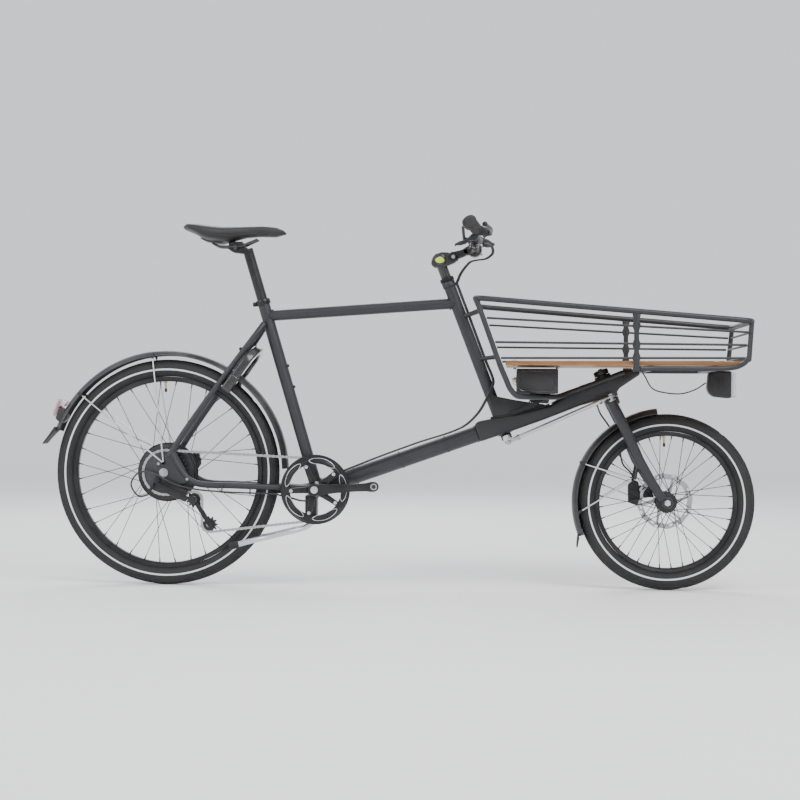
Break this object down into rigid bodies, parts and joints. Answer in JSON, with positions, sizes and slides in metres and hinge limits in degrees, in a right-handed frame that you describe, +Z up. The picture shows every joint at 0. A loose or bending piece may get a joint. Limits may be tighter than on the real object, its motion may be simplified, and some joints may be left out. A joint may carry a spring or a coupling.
{
  "type": "cargo bicycle",
  "caption": "Long front-loading cargo bicycle with an open wire basket over a wooden deck ahead of the handlebar, rod-linked steering, hub motor, small front wheel and large rear wheel.",
  "frame": {"origin": "on the ground, at the middle of the bicycle's bounding box", "axes": "+X forward, +Y to the rider's left, +Z up"},
  "size_m": [2.0745, 0.663, 1.058],
  "materials": {
    "frame_paint": "satin charcoal paint",
    "beam_paint": "satin charcoal paint",
    "black_metal": "black anodised",
    "silver_metal": "satin",
    "steel": "brushed",
    "tyre_rubber": "moulded tread",
    "grip_rubber": "fine grip texture",
    "cable_jacket": "smooth jacket",
    "black_plastic": "moulded, fine grain",
    "light_plastic": "moulded",
    "deck_wood": "oiled plywood",
    "saddle_cover": "fine grain synthetic leather"
  },
  "bodies": {
    "frame": {"seat_tube": "frame_paint", "top_tube": "frame_paint", "down_tube": "frame_paint", "front_beam": "beam_paint", "head_tube": "frame_paint", "rear_stays_right": "frame_paint", "rear_stays_left": "frame_paint", "support_tube_right": "frame_paint", "support_tube_left": "frame_paint", "basket_top_rail": "frame_paint", "basket_side_right": "frame_paint", "basket_side_left": "frame_paint", "basket_front": "frame_paint", "basket_rear": "frame_paint", "deck_frame": "frame_paint", "cargo_deck": "deck_wood", "battery": "black_plastic", "headlight": "light_plastic", "rear_fender": "black_plastic", "ring_lock": "black_plastic", "chain": "steel", "derailleur": "black_metal", "rear_caliper": "black_metal", "rear_axle": "steel", "frame_cables": "cable_jacket", "light_lead": "cable_jacket", "front_brake_hose": "cable_jacket"},
    "rear_wheel": {"rear_tyre": "tyre_rubber", "rear_rim": "black_metal", "rear_hub_motor": "black_metal"},
    "sprockets": {"cassette": "steel"},
    "cranks": {"crank_right": "black_metal", "crank_left": "black_metal", "chainring": "black_metal"},
    "guide_jockey": {"guide_pulley": "black_plastic"},
    "tension_jockey": {"tension_pulley": "black_plastic"},
    "stand": {"kickstand": "silver_metal"},
    "steerer": {"steerer": "black_metal", "control_cables_lower": "cable_jacket"},
    "tie_rod": {"tie_rod": "silver_metal"},
    "fork": {"fork": "frame_paint", "front_fender": "black_plastic"},
    "front_wheel": {"front_tyre": "tyre_rubber", "front_rim": "black_metal", "front_hub": "black_metal"},
    "riser": {"stem_riser": "black_metal", "control_cables_middle": "cable_jacket"},
    "stem": {"stem_arm": "black_metal", "handlebar": "black_metal", "grip_right": "grip_rubber", "grip_left": "grip_rubber", "right_controls": "black_plastic", "left_controls": "black_plastic", "display": "light_plastic", "control_cables_upper": "cable_jacket"},
    "lever_right": {"brake_lever_right": "black_metal"},
    "lever_left": {"brake_lever_left": "black_metal"},
    "shifter": {"shift_lever": "black_plastic"},
    "saddle_post": {"seatpost": "black_metal", "saddle": "saddle_cover"}
  },
  "joints": [
    {"name": "steer", "type": "hinge", "parent": "frame", "child": "steerer", "pos_m": [0.24673, 0, 0.63572], "axis": [-0.3584, 0, 0.9336], "range_deg": [-38, 38], "deforming": ["control_cables_lower", "front_brake_hose"]},
    {"name": "fork_steer", "type": "hinge", "parent": "frame", "child": "fork", "pos_m": [0.61125, 0, 0.58101], "axis": [-0.3584, 0, 0.9336], "range_deg": [-38, 38]},
    {"name": "tie_rod_pivot", "type": "hinge", "parent": "steerer", "child": "tie_rod", "pos_m": [0.32736, -0.055, 0.42566], "axis": [-0.3584, 0, 0.9336], "range_deg": [-38, 38]},
    {"name": "rear_wheel_spin", "type": "hinge", "parent": "frame", "child": "rear_wheel", "pos_m": [-0.669, 0, 0.33], "axis": [0, 1, 0], "continuous": true},
    {"name": "front_wheel_spin", "type": "hinge", "parent": "fork", "child": "front_wheel", "pos_m": [0.782, 0, 0.254], "axis": [0, 1, 0], "continuous": true},
    {"name": "crank_spin", "type": "hinge", "parent": "frame", "child": "cranks", "pos_m": [-0.229, 0, 0.284], "axis": [0, 1, 0], "continuous": true},
    {"name": "cassette_spin", "type": "hinge", "parent": "frame", "child": "sprockets", "pos_m": [-0.669, 0, 0.33], "axis": [0, 1, 0], "continuous": true},
    {"name": "guide_pulley_spin", "type": "hinge", "parent": "frame", "child": "guide_jockey", "pos_m": [-0.583, -0.045, 0.252], "axis": [0, 1, 0], "continuous": true},
    {"name": "tension_pulley_spin", "type": "hinge", "parent": "frame", "child": "tension_jockey", "pos_m": [-0.538, -0.045, 0.18], "axis": [0, 1, 0], "continuous": true},
    {"name": "kickstand_fold", "type": "hinge", "parent": "frame", "child": "stand", "pos_m": [-0.24, 0, 0.19], "axis": [0, -1, 0], "range_deg": [0, 80]},
    {"name": "stem_height", "type": "slide", "parent": "steerer", "child": "riser", "axis": [-0.3584, 0, 0.9336], "range_m": [0, 0.06]},
    {"name": "stem_angle", "type": "hinge", "parent": "riser", "child": "stem", "pos_m": [0.166, 0, 0.96], "axis": [0, -1, 0], "range_deg": [-12, 30]},
    {"name": "brake_lever_right_pull", "type": "hinge", "parent": "stem", "child": "lever_right", "pos_m": [0.275, -0.196, 1.012], "axis": [0, 0, -1], "range_deg": [0, 6], "stiffness_Nm_per_rad": 1},
    {"name": "brake_lever_left_pull", "type": "hinge", "parent": "stem", "child": "lever_left", "pos_m": [0.275, 0.196, 1.012], "axis": [0, 0, 1], "range_deg": [0, 6], "stiffness_Nm_per_rad": 1},
    {"name": "shift_lever_push", "type": "hinge", "parent": "stem", "child": "shifter", "pos_m": [0.216, -0.169, 0.996], "axis": [0, 0, 1], "range_deg": [0, 6], "stiffness_Nm_per_rad": 1},
    {"name": "seat_height", "type": "slide", "parent": "frame", "child": "saddle_post", "axis": [-0.2844, 0, 0.9587], "range_m": [-0.035, 0.08]}
  ],
  "couplings": [
    {"joint": "fork_steer", "follows": "steer", "ratio": 1},
    {"joint": "tie_rod_pivot", "follows": "steer", "ratio": -1},
    {"joint": "cassette_spin", "follows": "crank_spin", "ratio": 1.375},
    {"joint": "guide_pulley_spin", "follows": "crank_spin", "ratio": -4},
    {"joint": "tension_pulley_spin", "follows": "crank_spin", "ratio": 4}
  ]
}
